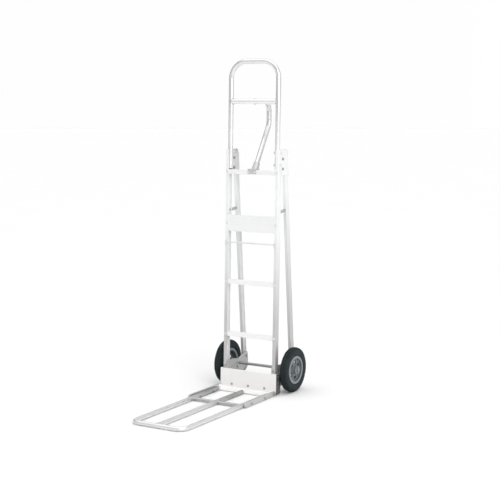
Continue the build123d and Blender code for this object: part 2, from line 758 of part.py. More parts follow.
with BuildPart() as toe_plate_bolts:
    length = toe_plate_wall + bar_rear + nut_height + bolt_end
    with Locations([facing_front(x, -toe_plate_wall, foot_crossbar_z) for x in toe_bolt_xs]):
        add(button_bolt(bolt_size, button_diameter, button_height, length))
write(toe_plate_bolts.part, "toe_plate_bolts")

with BuildPart() as toe_plate_nuts:
    with Locations([facing_rear(x, bar_rear, foot_crossbar_z) for x in toe_bolt_xs]):
        add(hex_nut(bolt_size, bolt_flats, nut_height))
write(toe_plate_nuts.part, "toe_plate_nuts")

with BuildPart() as toe_side_bolts:
    with Locations([facing_side(on_frame(side * toe_half, rail_middle, z), side)
                    for side, word in sides for z in side_bolt_zs]):
        add(button_bolt(bolt_size, button_diameter, button_height,
                        toe_half - bracket_inner + nut_height + bolt_end))
write(toe_side_bolts.part, "toe_side_bolts")

with BuildPart() as toe_side_nuts:
    with Locations([facing_side(on_frame(side * bracket_inner, rail_middle, z), -side)
                    for side, word in sides for z in side_bolt_zs]):
        add(hex_nut(bolt_size, bolt_flats, nut_height))
write(toe_side_nuts.part, "toe_side_nuts")

# Rod across the rails, in two clips
with BuildPart() as rest_rod:
    with BuildSketch(frame_section(-fastener_x - rest_clip_width / 2)):
        with Locations((-rest_rod_standoff, rest_rod_z)):
            Circle(rest_rod_diameter / 2)
    extrude(amount=2 * fastener_x + rest_clip_width)
write(rest_rod.part, "nose_rest_rod")

with BuildPart() as rest_clips:
    for side, word in sides:
        with BuildSketch(frame_section(side * fastener_x - rest_clip_width / 2)):
            with Locations((-rest_clip_depth / 2, rest_rod_z + (rest_clip_rise - rest_clip_drop) / 2)):
                RectangleRounded(rest_clip_depth, rest_clip_rise + rest_clip_drop, rest_clip_depth / 5)
            with Locations((-rest_rod_standoff, rest_rod_z)):
                Circle(rest_rod_diameter / 2 + running_fit, mode=Mode.SUBTRACT)
        extrude(amount=rest_clip_width)
    with Locations([facing_front(side * fastener_x, -rest_clip_depth, rest_screw_z) for side, word in sides]):
        Hole(small_hole, 2 * rest_clip_depth)
write(rest_clips.part, "rest_rod_clips")

with BuildPart() as rest_screws:
    with Locations([facing_front(side * fastener_x, -rest_clip_depth, rest_screw_z) for side, word in sides]):
        add(button_bolt(small_size, small_flats, button_height, rest_clip_depth + rail_wall + bolt_end))
write(rest_screws.part, "rest_rod_screws")

# Folding nose: tube loop with a centre tube, a cross member and hinge arms
nose_radius = nose_tube_diameter / 2
nose_tip_x = nose_tip_width / 2 - nose_radius
nose_end_x = arm_inner - slip - nose_radius
nose_front = nose_reach - nose_radius
nose_tube_end = toe_lip_reach + nose_gap + plug_flange
arm_bolt_front = arm_reach - arm_bolt_edge
arm_bolt_rear = arm_bolt_front - arm_bolt_pitch
nose_lines = {}
for side, word in sides:
    rear_end = beside(-nose_tube_end, nose_radius, side * nose_end_x)
    front_end = beside(-nose_front, nose_radius, side * nose_tip_x)
    nose_lines[side] = (rear_end, front_end)
with BuildPart() as nose_loop:
    with BuildLine() as nose_path:
        FilletPolyline(nose_lines[-1][0], nose_lines[-1][1], nose_lines[1][1], nose_lines[1][0],
                       radius=nose_corner)
    with BuildSketch(Plane(nose_path.wires()[0] @ 0, z_dir=nose_path.wires()[0] % 0)):
        Circle(nose_radius)
        Circle(nose_radius - nose_tube_wall, mode=Mode.SUBTRACT)
    sweep(path=nose_path.wires()[0])
    with Locations([facing_side(beside(-y, nose_radius, side * arm_inner), side)
                    for side, word in sides for y in (arm_bolt_front, arm_bolt_rear)]):
        Hole(small_hole, 2 * nose_tube_diameter)
write(nose_loop.part, "nose_loop")

with BuildPart() as nose_centre_tube:
    with BuildSketch(Plane(beside(-nose_tube_end, nose_radius), x_dir=across, z_dir=(0, -1, 0))):
        Circle(nose_radius)
        Circle(nose_radius - nose_tube_wall, mode=Mode.SUBTRACT)
    extrude(amount=nose_front - nose_tube_end)
    with Locations(Plane(beside(-nose_front, nose_radius), x_dir=(0, 1, 0), z_dir=across)):
        Cylinder(nose_radius + weld_gap, 2 * nose_tube_diameter, mode=Mode.SUBTRACT)
write(nose_centre_tube.part, "nose_centre_tube")

with BuildPart() as nose_cross_tubes:
    for side, word in sides:
        rear_end, front_end = nose_lines[side]
        run = (front_end - rear_end).normalized()
        with BuildSketch(side_view(0)):
            with Locations((-nose_cross_setback, nose_radius)):
                Circle(nose_cross_diameter / 2)
                Circle(nose_cross_diameter / 2 - nose_tube_wall, mode=Mode.SUBTRACT)
        extrude(amount=side * nose_end_x)
        with BuildSketch(Plane(rear_end, z_dir=run)):
            Circle(nose_radius + weld_gap)
        extrude(amount=2 * nose_cross_setback, mode=Mode.SUBTRACT)
    with BuildSketch(Plane(beside(0, nose_radius), x_dir=across, z_dir=(0, -1, 0))):
        Circle(nose_radius + weld_gap)
    extrude(amount=2 * nose_cross_setback, mode=Mode.SUBTRACT)
write(nose_cross_tubes.part, "nose_cross_tubes")

for side, word in sides:
    with BuildPart() as nose_arm:
        with BuildSketch(side_view(side * arm_inner)):
            with Locations((-(hinge_setback + arm_reach) / 2, hinge_height)):
                SlotOverall(arm_reach - hinge_setback + arm_height, arm_height)
        extrude(amount=side * arm_wall)
        with Locations(facing_side(beside(-hinge_setback, hinge_height, side * arm_outer), side)):
            Hole(hinge_screw_size / 2 + running_fit, 2 * arm_wall)
        with Locations([facing_side(beside(-y, nose_radius, side * arm_outer), side)
                        for y in (arm_bolt_front, arm_bolt_rear)]):
            Hole(small_hole, 2 * arm_wall)
    write(nose_arm.part, f"{word}_nose_arm")

nose_taper = (nose_end_x - nose_tip_x) / (nose_front - nose_tube_end)
arm_nut_seats = {y: nose_end_x - nose_taper * (y - nose_tube_end) - nose_radius - slip
                 for y in (arm_bolt_front, arm_bolt_rear)}
arm_bolt_length = arm_outer - arm_nut_seats[arm_bolt_front] + small_nut_height + bolt_end
with BuildPart() as nose_arm_bolts:
    with Locations([facing_side(beside(-y, nose_radius, side * arm_outer), side)
                    for side, word in sides for y in arm_nut_seats]):
        add(hex_bolt(small_size, small_flats, small_head, arm_bolt_length))
write(nose_arm_bolts.part, "nose_arm_bolts")

with BuildPart() as nose_arm_nuts:
    with Locations([facing_side(beside(-y, nose_radius, side * x), -side)
                    for side, word in sides for y, x in arm_nut_seats.items()]):
        add(hex_nut(small_size, small_flats, small_nut_height))
write(nose_arm_nuts.part, "nose_arm_nuts")

plug_ends = [(rear_end, (front_end - rear_end).normalized()) for rear_end, front_end in nose_lines.values()]
plug_ends.append((beside(-nose_tube_end, nose_radius), Vector(0, -1, 0)))
with BuildPart() as nose_tube_plugs:
    for rear_end, run in plug_ends:
        with BuildSketch(Plane(rear_end, z_dir=run)):
            Circle(nose_radius)
        extrude(amount=-plug_flange)
        with BuildSketch(Plane(rear_end, z_dir=run)):
            Circle(nose_radius - nose_tube_wall - weld_gap)
        extrude(amount=plug_length)
write(nose_tube_plugs.part, "nose_tube_plugs")

# Hinge of the nose: a screw through each arm into its lug, with a washer under the head
washer_inner = arm_outer + lug_gap
hinge_seat = washer_inner + hinge_washer_thickness
hinge_screw_length = hinge_seat - lip_half + lug_hole_depth - blind_gap
with BuildPart() as hinge_screws:
    with Locations([facing_side(beside(-hinge_setback, hinge_height, side * hinge_seat), side)
                    for side, word in sides]):
        add(hex_bolt(hinge_screw_size, hinge_screw_flats, hinge_screw_head, hinge_screw_length))
write(hinge_screws.part, "nose_hinge_screws")

with BuildPart() as hinge_washers:
    for side, word in sides:
        with BuildSketch(side_view(side * washer_inner)):
            with Locations((-hinge_setback, hinge_height)):
                Circle(hinge_washer_diameter / 2)
                Circle(hinge_screw_size / 2 + running_fit, mode=Mode.SUBTRACT)
        extrude(amount=side * hinge_washer_thickness)
write(hinge_washers.part, "hinge_washers")

# Axle with washers and cotter pins
hub_inner = wheel_x - hub_length / 2
hub_outer = wheel_x + hub_length / 2
cotter_x = hub_outer + hub_end_play + axle_washer_thickness + cotter_diameter / 2 + slip
axle_half = cotter_x + axle_end
with BuildPart() as axle:
    with BuildSketch(side_view(-axle_half)):
        with Locations((axle_setback, axle_height)):
            Circle(axle_diameter / 2)
    extrude(amount=2 * axle_half)
    chamfer(axle.edges(), rod_chamfer)
    with Locations([beside(axle_setback, axle_height, side * cotter_x) for side, word in sides]):
        Cylinder(cotter_diameter / 2 + press_gap, 2 * axle_diameter, mode=Mode.SUBTRACT)
write(axle.part, "axle")

inner_washer_thickness = hub_inner - hub_end_play - boss_outer
with BuildPart() as axle_washers:
    for side, word in sides:
        for x, thickness in ((boss_outer, inner_washer_thickness),
                             (hub_outer + hub_end_play, axle_washer_thickness)):
            with BuildSketch(side_view(side * x)):
                with Locations((axle_setback, axle_height)):
                    Circle(axle_washer_diameter / 2)
                    Circle(axle_diameter / 2 + running_fit, mode=Mode.SUBTRACT)
            extrude(amount=side * thickness)
write(axle_washers.part, "axle_washers")

with BuildPart() as cotter_pins:
    with Locations([beside(axle_setback, axle_height, side * cotter_x) for side, word in sides]):
        Cylinder(cotter_diameter / 2, cotter_length)
write(cotter_pins.part, "axle_cotter_pins")

# Wheels: tyre, spoked rim and two bearings each; local +X points outboard
axle_line = Axis(beside(axle_setback, axle_height), across)
rim_radius = rim_diameter / 2
seat_radius = rim_radius - rim_flange_height
barrel_radius = seat_radius - rim_barrel_wall
rim_half = rim_width / 2
bead_half = rim_half - rim_flange - slip
bead_radius = rim_radius + slip
tread_radius = wheel_diameter / 2
shoulder_radius = tread_radius - tyre_tread_drop
sidewall_radius = (bead_radius + shoulder_radius) / 2
tread_half = tyre_tread_width / 2
for side, word in sides:
    centre = beside(axle_setback, axle_height, side * wheel_x)
    wheel_section = Plane(centre, x_dir=across * side, z_dir=(0, -side, 0))
    wheel_face = Plane(centre, x_dir=(0, 0, 1), z_dir=across * side)

    with BuildPart() as tyre:
        with BuildSketch(wheel_section):
            with BuildLine():
                Polyline((-bead_half, bead_radius), (-bead_half, seat_radius + slip),
                         (bead_half, seat_radius + slip), (bead_half, bead_radius))
                ThreePointArc((bead_half, bead_radius), (tyre_width / 2, sidewall_radius),
                              (tread_half, shoulder_radius))
                ThreePointArc((tread_half, shoulder_radius), (0, tread_radius),
                              (-tread_half, shoulder_radius))
                ThreePointArc((-tread_half, shoulder_radius), (-tyre_width / 2, sidewall_radius),
                              (-bead_half, bead_radius))
            make_face()
        revolve(axis=axle_line)
    write(tyre.part, f"{word}_tyre")

    with BuildPart() as rim:
        with BuildSketch(wheel_section):
            with Locations((0, (barrel_radius + seat_radius) / 2)):
                Rectangle(rim_width, rim_barrel_wall)
            for end in (-1, 1):
                with Locations((end * (rim_half - rim_flange / 2), (barrel_radius + rim_radius) / 2)):
                    Rectangle(rim_flange, rim_radius - barrel_radius)
            with Locations((rim_web_offset, (hub_diameter / 4 + barrel_radius / 2))):
                Rectangle(rim_web, barrel_radius - hub_diameter / 2 + rim_barrel_wall)
            with Locations((0, (hub_bore + hub_diameter) / 4)):
                Rectangle(hub_length, (hub_diameter - hub_bore) / 2)
        revolve(axis=axle_line)
        round_edges = rim.edges().filter_by(GeomType.CIRCLE)
        fillet([edge for edge in round_edges if abs(edge.radius - rim_radius) < slip
                or abs(edge.radius - hub_diameter / 2) < slip], rim_round)
        pocket_radius = (barrel_radius + hub_diameter / 2) / 2
        with BuildSketch(wheel_face):
            with PolarLocations(pocket_radius, rim_pocket_count):
                SlotOverall(rim_pocket_length, rim_pocket_height, rotation=90)
        extrude(amount=rim_width, both=True, mode=Mode.SUBTRACT)
        with Locations([wheel_face.offset(hub_length / 2), wheel_face.offset(-hub_length / 2)]):
            Hole(bearing_diameter / 2, bearing_length)
    write(rim.part, f"{word}_rim")

    with BuildPart() as bearings:
        for end in (-1, 1):
            with BuildSketch(wheel_face.offset(end * hub_length / 2)):
                Circle(bearing_diameter / 2 - press_gap)
                Circle(axle_diameter / 2 + running_fit, mode=Mode.SUBTRACT)
            extrude(amount=-end * bearing_length)
    write(bearings.part, f"{word}_wheel_bearings")
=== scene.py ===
import math

import bmesh
import bpy
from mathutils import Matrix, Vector


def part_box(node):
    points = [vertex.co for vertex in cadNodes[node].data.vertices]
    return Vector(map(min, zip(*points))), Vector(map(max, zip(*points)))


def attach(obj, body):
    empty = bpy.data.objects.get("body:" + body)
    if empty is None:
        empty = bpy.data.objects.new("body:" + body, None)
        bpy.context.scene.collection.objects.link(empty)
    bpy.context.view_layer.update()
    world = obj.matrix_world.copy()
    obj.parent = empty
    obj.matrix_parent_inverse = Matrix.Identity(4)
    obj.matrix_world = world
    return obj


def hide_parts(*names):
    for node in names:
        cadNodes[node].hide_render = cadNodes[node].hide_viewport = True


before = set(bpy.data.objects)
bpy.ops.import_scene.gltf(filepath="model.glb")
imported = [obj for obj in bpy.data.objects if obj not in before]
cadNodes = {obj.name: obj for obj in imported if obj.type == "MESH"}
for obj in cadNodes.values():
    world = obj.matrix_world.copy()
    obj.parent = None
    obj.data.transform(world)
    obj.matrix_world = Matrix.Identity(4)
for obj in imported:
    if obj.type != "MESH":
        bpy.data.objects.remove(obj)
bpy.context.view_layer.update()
print("frame loaded with", len(cadNodes), "nodes")

leanAngle = math.radians(1.65)  # how far the rails tip back
braceAngle = math.radians(-4.57)  # how far the rear rails tip forward
xAxis = Vector((1, 0, 0))
yAxis = Vector((0, 1, 0))
frameUp = Vector((0, math.sin(leanAngle), math.cos(leanAngle)))
frameBack = Vector((0, math.cos(leanAngle), -math.sin(leanAngle)))
braceBack = Vector((0, math.cos(braceAngle), -math.sin(braceAngle)))


class Wire:
    def __init__(self, graph, socket):
        self.graph = graph
        self.socket = socket

    def calc(self, operation, first, second):
        return self.graph.add("ShaderNodeMath", {"operation": operation}, {0: first, 1: second})

    def __add__(self, other):
        return self.calc("ADD", self, other)

    __radd__ = __add__

    def __sub__(self, other):
        return self.calc("SUBTRACT", self, other)

    def __rsub__(self, other):
        return self.calc("SUBTRACT", other, self)

    def __mul__(self, other):
        return self.calc("MULTIPLY", self, other)

    __rmul__ = __mul__

    def __truediv__(self, other):
        return self.calc("DIVIDE", self, other)

    def __rtruediv__(self, other):
        return self.calc("DIVIDE", other, self)


class Graph:
    def __init__(self, tree):
        self.tree = tree

    def add(self, kind, settings=None, inputs=None, out=0):
        node = self.tree.nodes.new(kind)
        for name, value in (settings or {}).items():  # settings first, they can change the sockets
            setattr(node, name, value)
        for key, value in (inputs or {}).items():
            for one in value if isinstance(value, list) else [value]:
                if isinstance(one, Wire):
                    self.tree.links.new(one.socket, node.inputs[key])
                else:
                    node.inputs[key].default_value = one
        return Wire(self, node.outputs[out]) if len(node.outputs) else node


# shader helpers

def objectPlace(graph):
    return graph.add("ShaderNodeTexCoord", out="Object")


def cloudy(graph, place, scale, detail, rough):
    return graph.add("ShaderNodeTexNoise", {},
                     {"Vector": place, "Scale": scale, "Detail": detail, "Roughness": rough})


def stretched(graph, place, lengths, turn):
    return graph.add("ShaderNodeMapping", {"vector_type": "TEXTURE"},
                     {"Vector": place, "Rotation": turn, "Scale": lengths})


def axisOf(graph, place, axis):
    return graph.add("ShaderNodeSeparateXYZ", {}, {0: place}, out=axis)


def offCentre(graph, place):
    return graph.add("ShaderNodeMath", {"operation": "ABSOLUTE"}, {0: axisOf(graph, place, 0)})


def vectorMath(graph, operation, first, second, out="Value"):
    return graph.add("ShaderNodeVectorMath", {"operation": operation}, {0: first, 1: second}, out=out)


def between(graph, value, low, high, first=0.0, last=1.0):
    return graph.add("ShaderNodeMapRange", {"clamp": True},
                     {0: value, 1: low, 2: high, 3: first, 4: last})


def tinted(graph, factor, first, second):
    return graph.add("ShaderNodeMix", {"data_type": "RGBA", "clamp_factor": True},
                     {0: factor, 6: first, 7: second}, out=2)


def rgb(value, tint=(1, 1, 1)):
    return (value * tint[0], value * tint[1], value * tint[2], 1)


def newFinish(name):
    material = bpy.data.materials.new(name)
    material.use_nodes = True
    material.node_tree.nodes.clear()
    return material, Graph(material.node_tree)


def closeFinish(graph, inputs):
    shader = graph.add("ShaderNodeBsdfPrincipled", {}, inputs)
    graph.add("ShaderNodeOutputMaterial", {}, {"Surface": shader})


# metals: drawn lines, clouds, pits, scuffs and grime, over a tone that may change along the piece; that
# change is painted shade on some pieces
# a noise is scale, detail and roughness; for clouds and pits the scale is in each look

metalWear = {"lineNoise": (1.0, 4.0, 0.62), "cloudNoise": (4.0, 0.6), "pitNoise": (2.0, 0.55),
             "scuffNoise": (0.7, 2.0, 0.5), "scuffWidth": 3, "scuffTurn": (0.5, 0.3, 0.9),
             "scuffRange": (0.64, 0.72), "scuffRough": 0.12, "grimeRange": (0.42, 0.68), "grimeRough": 0.15,
             "toneRange": (0.32, 0.68), "roughRange": (0.3, 0.7), "reliefDepth": 0.0004, "edgeSamples": 4,
             "depthBlend": 0.002, "sideBlend": 0.001}


def topMask(graph, place, top):
    return between(graph, axisOf(graph, place, 2), top["from"], top["to"])


def ringMask(graph, place, ring):
    sideView = vectorMath(graph, "MULTIPLY", place, (0, 1, 1), "Vector")
    away = vectorMath(graph, "DISTANCE", sideView, ring["hub"])
    return between(graph, away, *ring["edge"]) + between(graph, away, *ring["boss"])


def flankPaintedShadowMask(graph, place, flank):
    return between(graph, offCentre(graph, place), flank["from"], flank["to"])


# painted shade: darker towards one end of the piece along one axis
def fadeMask(graph, place, fade):
    mask = between(graph, axisOf(graph, place, fade["axis"]), fade["from"], fade["to"])
    if "hollow" in fade:  # the painted shade leaves out the inside of a channel
        back, depth, outer = fade["hollow"]
        behind = vectorMath(graph, "DOT_PRODUCT", place, back)
        deep = between(graph, behind, depth, depth + metalWear["depthBlend"])
        inside = between(graph, offCentre(graph, place), outer, outer - metalWear["sideBlend"])
        mask = mask * (1 - deep * inside)
    return mask


def metalFinish(name, look):
    material, graph = newFinish(name)
    place = objectPlace(graph)
    fineX, fineY, fineZ = look["grain"]
    scuffSize = (fineZ, fineX * metalWear["scuffWidth"], fineY * metalWear["scuffWidth"])
    scuffSheet = stretched(graph, place, scuffSize, metalWear["scuffTurn"])
    scuffs = between(graph, cloudy(graph, scuffSheet, *metalWear["scuffNoise"]), *metalWear["scuffRange"])
    lines = cloudy(graph, stretched(graph, place, look["grain"], look["turn"]), *metalWear["lineNoise"])
    cloud = cloudy(graph, place, look["cloud"], *metalWear["cloudNoise"])
    pits = cloudy(graph, place, look["pits"], *metalWear["pitNoise"])
    nearFloor = between(graph, axisOf(graph, place, 2), look["grimeTop"], 0.0)
    grime = nearFloor * between(graph, cloud, *metalWear["grimeRange"])
    tone = lines * look["lineShare"] + cloud * (1 - look["lineShare"])
    colour = tinted(graph, between(graph, tone, *metalWear["toneRange"]), look["dark"], look["light"])
    # the handle's top tone and the toe plate's flank tone are painted shade
    for zone, mask in (("top", topMask), ("ring", ringMask), ("flank", flankPaintedShadowMask)):
        if zone in look:
            colour = tinted(graph, mask(graph, place, look[zone]), colour, look[zone]["tone"])
    colour = tinted(graph, scuffs * look["scuff"], colour, look["scuffTone"])
    # painted shade laid over the finish's own tone
    if "fade" in look:
        colour = tinted(graph, fadeMask(graph, place, look["fade"]), colour, look["fade"]["tone"])
    colour = tinted(graph, grime * look["grime"], colour, look["grimeTone"])
    rough = between(graph, tone, *metalWear["roughRange"], *look["rough"])
    rough = rough + scuffs * metalWear["scuffRough"] + grime * metalWear["grimeRough"]
    relief = lines * look["lineRelief"] + pits * look["pitRelief"]
    soft = graph.add("ShaderNodeBevel", {"samples": metalWear["edgeSamples"]}, {"Radius": look["edge"]})
    normal = graph.add("ShaderNodeBump", {}, {"Strength": look["bump"], "Distance": metalWear["reliefDepth"],
                                              "Height": relief, "Normal": soft})
    closeFinish(graph, {"Base Color": colour, "Metallic": look["metallic"], "Roughness": rough,
                        "Normal": normal})
    return material


alongX = (0.35, 0.0016, 0.0016)
alongY = (0.0016, 0.35, 0.0016)
alongZ = (0.0016, 0.0016, 0.35)
plainAluminium = {"light": rgb(0.89), "dark": rgb(0.81, (0.99, 1, 1.01)), "metallic": 0.45,
                  "rough": (0.34, 0.5), "grain": alongZ, "turn": (0, 0, 0), "cloud": 9.0, "pits": 900.0,
                  "lineShare": 0.6, "lineRelief": 0.7, "pitRelief": 0.3, "bump": 0.18, "edge": 0.0009,
                  "scuff": 0.35, "scuffTone": rgb(0.92),
                  "grime": 0.35, "grimeTone": rgb(0.36, (1, 0.97, 0.93)), "grimeTop": 0.32}
tubeLook = {"light": rgb(0.89), "dark": rgb(0.8), "metallic": 0.9, "rough": (0.13, 0.24),
            "lineShare": 0.25, "bump": 0.06, "edge": 0.0003}
noseLook = {"metallic": 0.75, "rough": (0.2, 0.36), "bump": 0.1, "grimeTop": 0.05}
castLook = {"grain": (0.004, 0.004, 0.004), "cloud": 14.0, "pits": 600.0, "lineShare": 0.3,
            "rough": (0.42, 0.6), "lineRelief": 0.25, "pitRelief": 0.9, "bump": 0.35, "edge": 0.0016}
boltLook = {"grain": (0.002, 0.002, 0.002), "cloud": 60.0, "rough": (0.32, 0.5), "bump": 0.12,
            "edge": 0.0004}
steelLook = {"grain": alongX, "rough": (0.26, 0.42), "bump": 0.1, "edge": 0.0004}

# painted shade: the rails darken towards the wheels on their front and outer faces, the nose towards its
# hinge
channelSkin = {"front": 0.004, "side": 0.0015}
railLow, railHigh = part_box("right_side_rail")
rearLow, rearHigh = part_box("right_rear_rail")
railFront = frameBack.dot(railLow)
rearFront = braceBack.dot(Vector((0, rearLow.y, rearHigh.z)))
railHollow = (frameBack, railFront + channelSkin["front"], railHigh.x - channelSkin["side"])
rearHollow = (braceBack, rearFront + channelSkin["front"], rearHigh.x - channelSkin["side"])
paintedShadeTone = rgb(0.52, (1.01, 1, 1))
railPaintedShade = {"axis": 2, "from": 0.92, "to": 0.4, "tone": paintedShadeTone, "hollow": railHollow}
rearPaintedShade = {"axis": 2, "from": 1.15, "to": 0.45, "tone": paintedShadeTone, "hollow": rearHollow}
# painted shade on the nose's rear, near the toe plate
nosePaintedShade = {"axis": 1, "from": -0.12, "to": 0.14, "tone": rgb(0.35)}

# other tones on a part of a piece, among them painted shade on the handle's top and painted shadow on the toe
# plate's sides; the ring's limits are distances from the wheel's axis
wheelHub = sum(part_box("right_tyre"), Vector()) / 2
rimRing = {"hub": (0, wheelHub.y, wheelHub.z), "edge": (0.0665, 0.068), "boss": (0.0235, 0.022),
           "tone": rgb(0.27, (0.88, 1, 1.06))}
handlePaintedShade = {"from": 1.5, "to": 1.66, "tone": rgb(0.76)}
saddleTop = {"from": 1.249, "to": 1.252, "tone": rgb(0.56)}
# painted shadow of the wheels on the sides of the toe plate
toePaintedShadow = {"from": 0.1815, "to": 0.1825, "tone": rgb(0.12)}


def variant(*looks, **changes):
    look = dict(plainAluminium)
    for part in looks:
        look.update(part)
    look.update(changes)
    return look


metals = {
    "railMetal": variant(turn=(-leanAngle, 0, 0), fade=railPaintedShade),
    "rearRailMetal": variant(turn=(-braceAngle, 0, 0), fade=rearPaintedShade),
    "crossMetal": variant(grain=alongX, light=rgb(0.9), dark=rgb(0.83)),
    "panelMetal": variant(grain=alongX, cloud=5.0),
    "handleMetal": variant(tubeLook, top=handlePaintedShade),
    "gripMetal": variant(tubeLook, light=rgb(0.74), dark=rgb(0.64)),
    "handleCrossMetal": variant(tubeLook, grain=alongX),
    "noseMetal": variant(noseLook, grain=alongY, lineShare=0.4, fade=nosePaintedShade,
                         light=rgb(0.84, (1, 0.99, 0.99)), dark=rgb(0.7, (1, 0.99, 0.99))),
    "noseCrossMetal": variant(noseLook, grain=alongX, light=rgb(0.52), dark=rgb(0.42)),
    # painted shade: the nose arms are a darker aluminium for the shade near the toe plate
    "armMetal": variant(grain=alongY, grimeTop=0.05, metallic=0.75, light=rgb(0.62), dark=rgb(0.5)),
    "castMetal": variant(castLook, light=rgb(0.55), dark=rgb(0.4), metallic=0.6),
    "plateMetal": variant(castLook, light=rgb(0.72), dark=rgb(0.58), metallic=0.6),
    "headMetal": variant(castLook),
    "toeMetal": variant(castLook, rough=(0.5, 0.66), cloud=7.0, bump=0.25, grime=0.12, flank=toePaintedShadow,
                        light=rgb(0.92, (1.02, 1, 1)), dark=rgb(0.84, (1.02, 1, 1))),
    "saddleMetal": variant(castLook, light=rgb(0.64), dark=rgb(0.5), metallic=0.7, top=saddleTop),
    "rimMetal": variant(castLook, cloud=22.0, metallic=0.5, scuff=0.2, scuffTone=rgb(0.5), ring=rimRing,
                        light=rgb(0.2, (0.86, 1, 1.06)), dark=rgb(0.13, (0.84, 1, 1.07))),
    "boltMetal": variant(boltLook, light=rgb(0.5, (1, 0.99, 0.96)), dark=rgb(0.3), metallic=1.0),
    "brightBolt": variant(boltLook, light=rgb(0.86), dark=rgb(0.7), metallic=0.9),
    "axleMetal": variant(steelLook, light=rgb(0.4), dark=rgb(0.28), metallic=1.0),
    "rodMetal": variant(steelLook, light=rgb(0.8), dark=rgb(0.66)),
}
finishes = {name: metalFinish(name, look) for name, look in metals.items()}

# rubber and plastic: clouds, dust and a fine grain

moulded = {"cloudNoise": (26.0, 4.0, 0.6), "grainNoise": (1500.0, 2.0, 0.5), "dustNoise": (70.0, 5.0, 0.65),
           "cloudRange": (0.3, 0.7), "dustRange": (0.52, 0.8), "dust": 0.35, "dustRough": 0.2,
           "bump": 0.2, "reliefDepth": 0.0003}
tyreLook = {"light": rgb(0.026, (0.66, 1, 1.14)), "dark": rgb(0.013, (0.66, 1, 1.16)),
            "dust": rgb(0.09, (0.85, 1, 1.03)), "rough": (0.55, 0.8), "shine": 0.25}
plasticLook = {"light": rgb(0.42), "dark": rgb(0.34), "dust": rgb(0.46), "rough": (0.42, 0.6), "shine": 0.4}


def mouldedFinish(name, look):
    material, graph = newFinish(name)
    place = objectPlace(graph)
    cloud = cloudy(graph, place, *moulded["cloudNoise"])
    grain = cloudy(graph, place, *moulded["grainNoise"])
    dust = between(graph, cloudy(graph, place, *moulded["dustNoise"]), *moulded["dustRange"])
    dust = dust * moulded["dust"]
    colour = tinted(graph, between(graph, cloud, *moulded["cloudRange"]), look["dark"], look["light"])
    colour = tinted(graph, dust, colour, look["dust"])
    rough = between(graph, cloud, *moulded["cloudRange"], *look["rough"]) + dust * moulded["dustRough"]
    normal = graph.add("ShaderNodeBump", {}, {"Strength": moulded["bump"], "Distance": moulded["reliefDepth"],
                                              "Height": grain})
    closeFinish(graph, {"Base Color": colour, "Roughness": rough, "Normal": normal,
                        "Specular IOR Level": look["shine"]})
    return material


finishes["tyreRubber"] = mouldedFinish("tyreRubber", tyreLook)
finishes["greyPlastic"] = mouldedFinish("greyPlastic", plasticLook)

# which finish each piece of the frame wears

wornBy = {
    "railMetal": ["left_side_rail", "right_side_rail"],
    "rearRailMetal": ["left_rear_rail", "right_rear_rail"],
    "crossMetal": ["foot_crossbar", "lower_crossbar", "middle_crossbar", "upper_crossbar"],
    "panelMetal": ["cross_panel"],
    "handleMetal": ["loop_handle"],
    "gripMetal": ["rear_grip"],
    "handleCrossMetal": ["handle_crossbar"],
    "noseMetal": ["nose_loop", "nose_centre_tube"],
    "noseCrossMetal": ["nose_cross_tubes"],
    "armMetal": ["left_nose_arm", "right_nose_arm"],
    "toeMetal": ["toe_plate"],
    "castMetal": ["left_wheel_bracket", "right_wheel_bracket"],
    "plateMetal": ["brace_plates"],
    "headMetal": ["left_brace_head", "right_brace_head"],
    "saddleMetal": ["grip_saddle"],
    "rimMetal": ["left_rim", "right_rim"],
    "axleMetal": ["axle", "axle_cotter_pins"],
    "rodMetal": ["nose_rest_rod", "rest_rod_clips"],
    "brightBolt": ["crossbar_bolts", "crossbar_nuts", "handle_bolts", "handle_nuts",
                   "rest_rod_screws", "grip_saddle_screws"],
    "boltMetal": ["brace_head_bolts", "brace_head_nuts", "spacer_screws", "bracket_bolts", "bracket_nuts",
                  "toe_plate_bolts", "toe_plate_nuts", "toe_side_bolts", "toe_side_nuts",
                  "nose_arm_bolts", "nose_arm_nuts", "nose_hinge_screws", "hinge_washers", "axle_washers",
                  "left_wheel_bearings", "right_wheel_bearings"],
    "greyPlastic": ["rail_spacers", "nose_tube_plugs"],
    "tyreRubber": ["left_tyre", "right_tyre"],
}
for finishName, names in wornBy.items():
    for name in names:
        slots = cadNodes[name].data.materials
        slots.clear()
        slots.append(finishes[finishName])
print("finishes put on", sum(len(names) for names in wornBy.values()), "nodes")


# making of meshes

def meshFrom(name, shape):
    mesh = bpy.data.meshes.new(name)
    shape.to_mesh(mesh)
    shape.free()
    return mesh


def addMesh(name, mesh, material):
    piece = bpy.data.objects.new(name, mesh)
    bpy.context.scene.collection.objects.link(piece)
    if not mesh.materials:
        mesh.materials.append(material)
    return piece


def newTree(name, inputs):
    tree = bpy.data.node_groups.new(name, "GeometryNodeTree")
    tree.interface.new_socket("Geometry", in_out="INPUT", socket_type="NodeSocketGeometry")
    for label, kind in inputs.items():
        tree.interface.new_socket(label, in_out="INPUT", socket_type=kind)
    tree.interface.new_socket("Geometry", in_out="OUTPUT", socket_type="NodeSocketGeometry")
    graph = Graph(tree)
    source = tree.nodes.new("NodeGroupInput")
    return tree, graph, {socket.name: Wire(graph, socket) for socket in source.outputs if socket.name}


def closeTree(graph, geometry, material):
    real = graph.add("GeometryNodeRealizeInstances", {}, {0: geometry})
    done = graph.add("GeometryNodeSetMaterial", {}, {"Geometry": real, "Material": material})
    graph.add("NodeGroupOutput", {}, {0: done})


